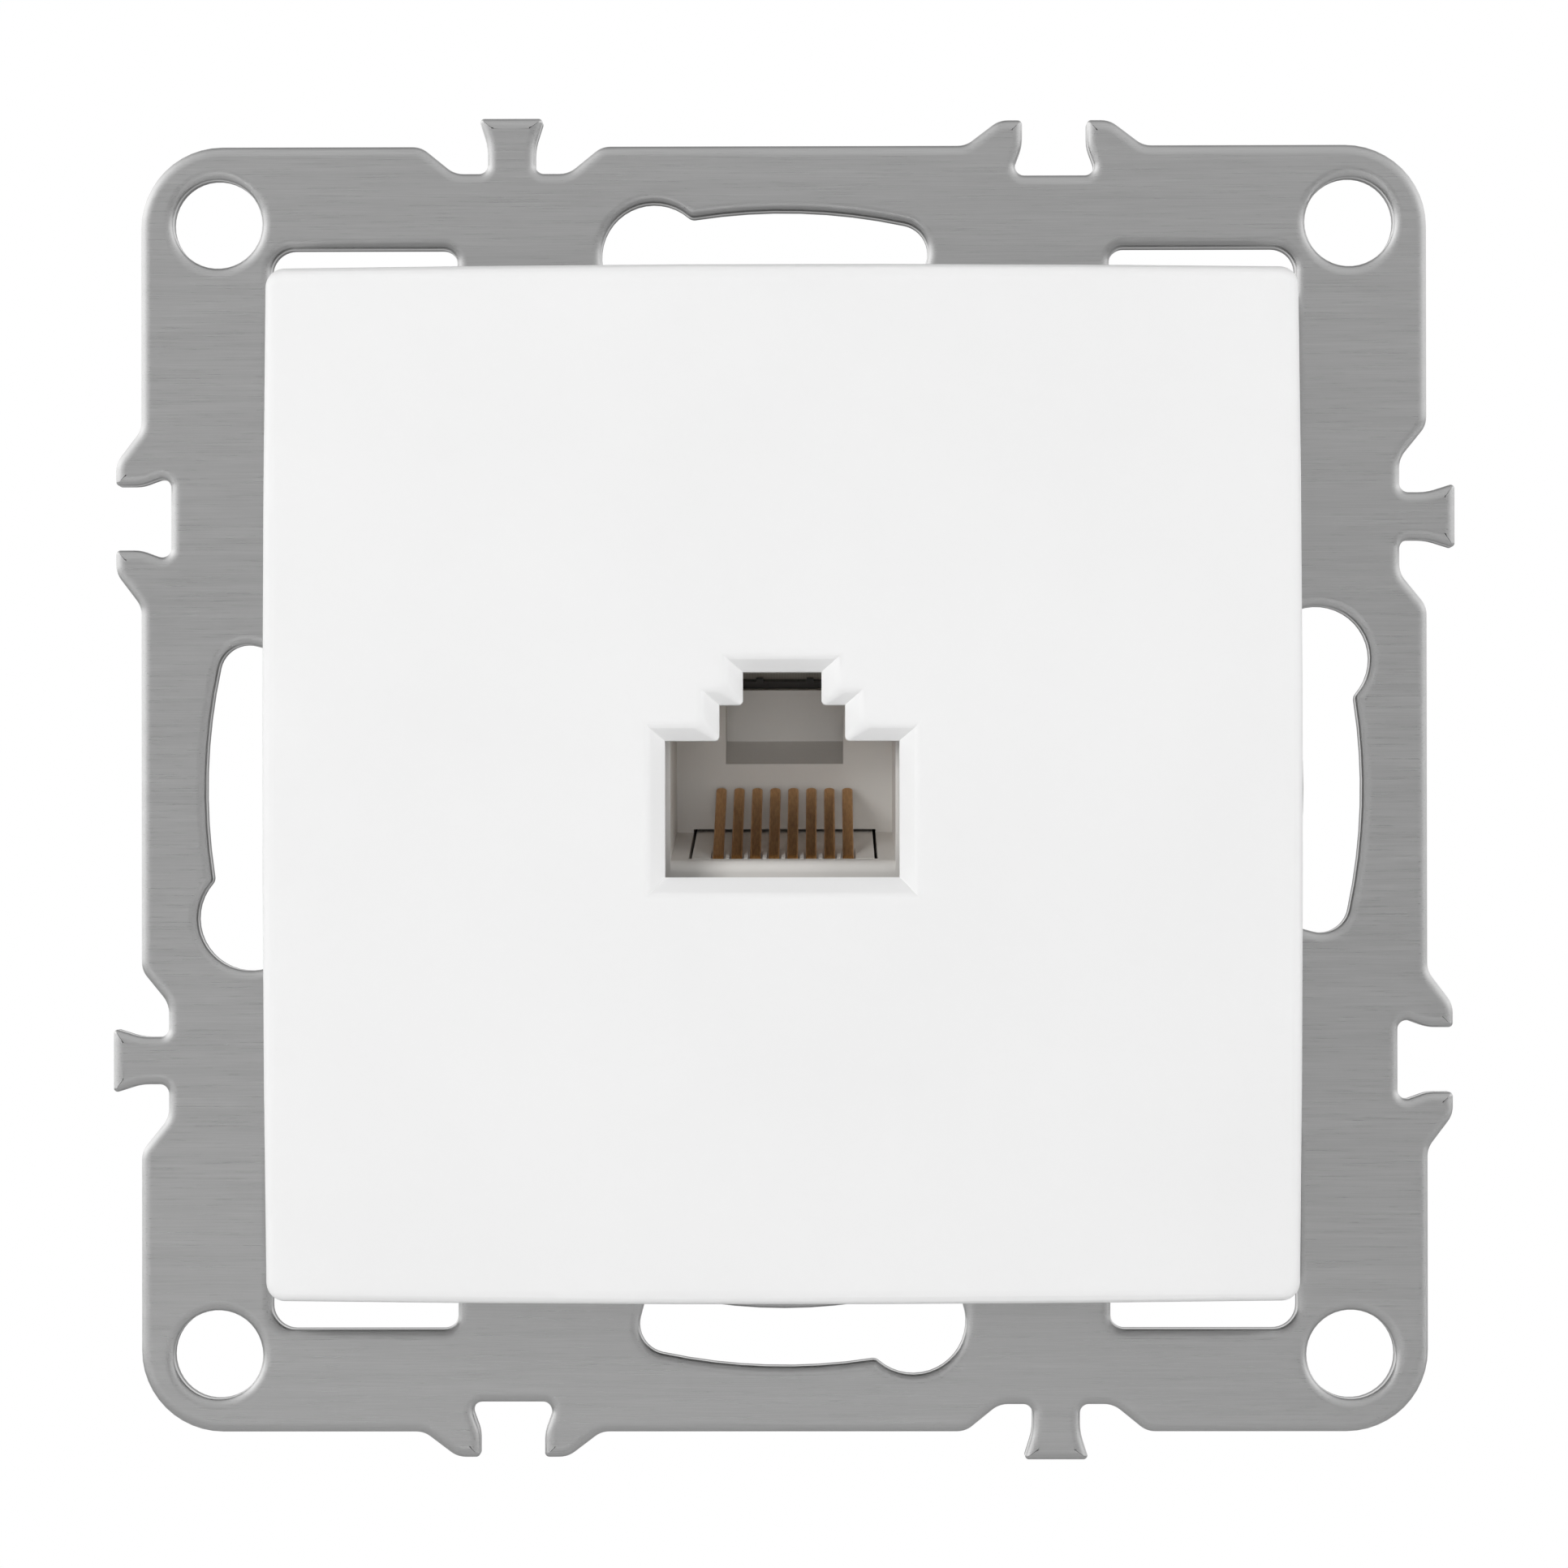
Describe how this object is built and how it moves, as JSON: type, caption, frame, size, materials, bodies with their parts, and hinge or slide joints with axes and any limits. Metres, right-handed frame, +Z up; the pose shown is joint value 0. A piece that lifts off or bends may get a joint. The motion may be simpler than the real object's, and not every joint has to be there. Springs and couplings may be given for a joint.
{
  "type": "flush data wall socket",
  "caption": "Square white wall socket for a modular data plug, on a stamped steel support frame with interlocking tabs, with a tilted jack and wire strips behind.",
  "frame": {"origin": "centre of the mounting plane, in the plane of the support frame's back face, on the middle of its four corner holes", "axes": "+Y into the wall, +X to the right and +Z up as seen by someone facing the socket"},
  "size_m": [0.0742, 0.034, 0.0742],
  "materials": {
    "brushed_stainless_steel": "stamped and brushed sheet",
    "white_moulding": "satin moulded",
    "grey_moulding": "fine moulded texture",
    "jack_moulding": "satin moulded",
    "black_moulding": "satin moulded",
    "board_laminate": "bare composite laminate",
    "strip_moulding": "satin moulded",
    "spring_bronze": "rolled strip, thinly gilded",
    "tinned_bronze": "tinned strip"
  },
  "bodies": {
    "root": {"support_frame": "brushed_stainless_steel", "cover": "white_moulding", "jack_carrier": "grey_moulding", "jack_housing": "jack_moulding", "contact_tray": "jack_moulding", "tail_guide": "black_moulding", "circuit_board": "board_laminate", "idc_strip_left": "strip_moulding", "idc_strip_right": "strip_moulding", "contact_1": "spring_bronze", "contact_2": "spring_bronze", "contact_3": "spring_bronze", "contact_4": "spring_bronze", "contact_5": "spring_bronze", "contact_6": "spring_bronze", "contact_7": "spring_bronze", "contact_8": "spring_bronze", "idc_blade_1": "tinned_bronze", "idc_blade_2": "tinned_bronze", "idc_blade_3": "tinned_bronze", "idc_blade_4": "tinned_bronze", "idc_blade_5": "tinned_bronze", "idc_blade_6": "tinned_bronze", "idc_blade_7": "tinned_bronze", "idc_blade_8": "tinned_bronze"}
  },
  "joints": []
}
